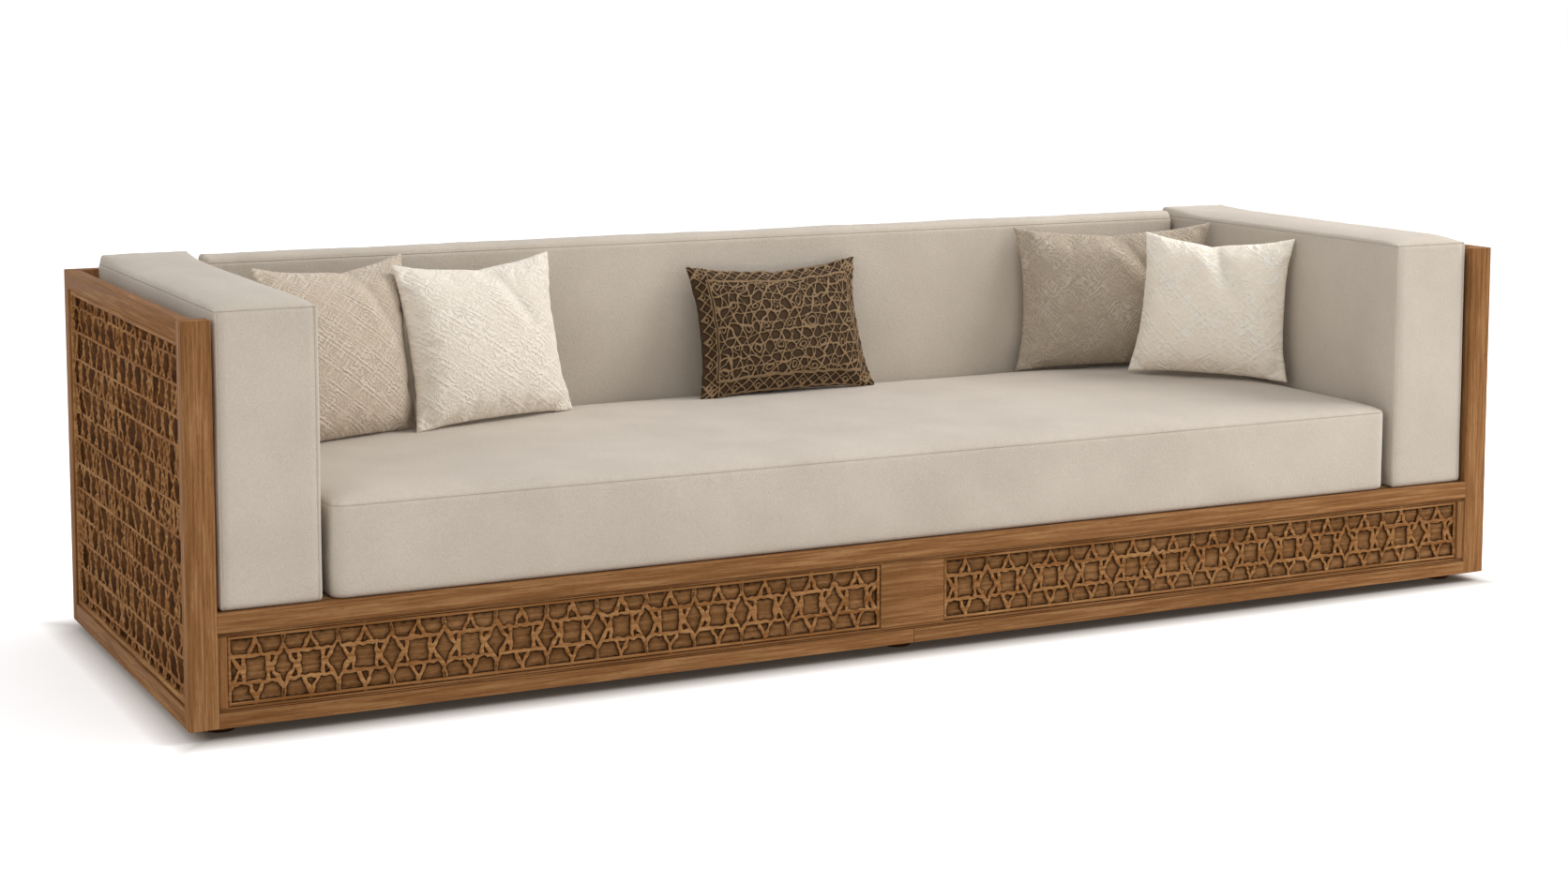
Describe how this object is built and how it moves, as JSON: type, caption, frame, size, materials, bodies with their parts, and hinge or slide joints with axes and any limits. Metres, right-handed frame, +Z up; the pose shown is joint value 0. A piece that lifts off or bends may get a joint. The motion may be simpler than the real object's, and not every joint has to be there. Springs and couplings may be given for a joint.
{
  "type": "restaurant booth",
  "caption": "Long upholstered restaurant booth: hardwood case with carved star lattice apron and end screens, fixed arm and back pads, a loose seat cushion and throw pillows.",
  "frame": {"origin": "on the floor, at the middle of the footprint of the posts", "axes": "+X along the seat, to the right when facing the booth; +Y from the front to the back, so the open front faces -Y; +Z up"},
  "size_m": [3, 0.985, 0.803],
  "materials": {
    "hardwood": "oiled walnut-brown hardwood, satin",
    "carved_hardwood": "oiled, with the knife marks of the carving left",
    "dark_hardwood": "dark stained, matt",
    "plywood": "bare, sanded",
    "seat_fabric": "fine flat weave, greige",
    "cream_fabric": "jacquard with raised lines, cream",
    "beige_fabric": "jacquard with raised lines, beige",
    "taupe_fabric": "jacquard with raised lines, taupe",
    "brown_fabric": "embroidered raised strapwork, brown",
    "steel": "zinc plated"
  },
  "bodies": {
    "case": {"left_front_post": "hardwood", "left_rear_post": "hardwood", "left_top_rail": "hardwood", "left_bottom_rail": "hardwood", "left_screen": "carved_hardwood", "left_screen_backing": "dark_hardwood", "left_arm_board": "plywood", "left_arm_pad": "seat_fabric", "right_front_post": "hardwood", "right_rear_post": "hardwood", "right_top_rail": "hardwood", "right_bottom_rail": "hardwood", "right_screen": "carved_hardwood", "right_screen_backing": "dark_hardwood", "right_arm_board": "plywood", "right_arm_pad": "seat_fabric", "front_top_rail": "hardwood", "front_bottom_rail_left": "hardwood", "front_bottom_rail_right": "hardwood", "front_mouldings_left": "hardwood", "front_mouldings_right": "hardwood", "front_panel_left": "carved_hardwood", "front_panel_right": "carved_hardwood", "front_centre_block": "hardwood", "front_end_stile_left": "hardwood", "front_end_stile_right": "hardwood", "front_panel_cleats": "plywood", "back_top_rail": "hardwood", "back_bottom_rail": "hardwood", "back_centre_stile": "hardwood", "back_panel_left": "hardwood", "back_panel_right": "hardwood", "back_board": "plywood", "back_pad": "seat_fabric", "front_beam": "plywood", "rear_beam": "plywood", "cross_bearers": "plywood", "deck_left": "plywood", "deck_middle": "plywood", "deck_right": "plywood", "foot_blocks": "plywood", "front_feet": "hardwood", "rear_feet": "hardwood", "foot_studs": "steel"},
    "seat_cushion": {"seat_cushion": "seat_fabric"},
    "pillow_left_rear": {"pillow_left_rear": "beige_fabric"},
    "pillow_left_front": {"pillow_left_front": "cream_fabric"},
    "pillow_middle": {"pillow_middle": "brown_fabric"},
    "pillow_right_rear": {"pillow_right_rear": "taupe_fabric"},
    "pillow_right_front": {"pillow_right_front": "cream_fabric"}
  },
  "joints": [
    {"name": "seat_cushion_lift", "type": "slide", "parent": "case", "child": "seat_cushion", "axis": [0, 0, 1], "range_m": [0, 0.3]},
    {"name": "pillow_left_rear_lift", "type": "slide", "parent": "seat_cushion", "child": "pillow_left_rear", "axis": [-0.0599, 0.1445, 0.9877], "range_m": [0, 0.25]},
    {"name": "pillow_left_front_lift", "type": "slide", "parent": "seat_cushion", "child": "pillow_left_front", "axis": [-0.0505, 0.1553, 0.9866], "range_m": [0, 0.25]},
    {"name": "pillow_middle_lift", "type": "slide", "parent": "seat_cushion", "child": "pillow_middle", "axis": [0, 0, 1], "range_m": [0, 0.25]},
    {"name": "pillow_right_rear_lift", "type": "slide", "parent": "seat_cushion", "child": "pillow_right_rear", "axis": [0, 0, 1], "range_m": [0, 0.25]},
    {"name": "pillow_right_front_lift", "type": "slide", "parent": "seat_cushion", "child": "pillow_right_front", "axis": [0.0687, 0.0537, 0.9962], "range_m": [0, 0.25]}
  ]
}
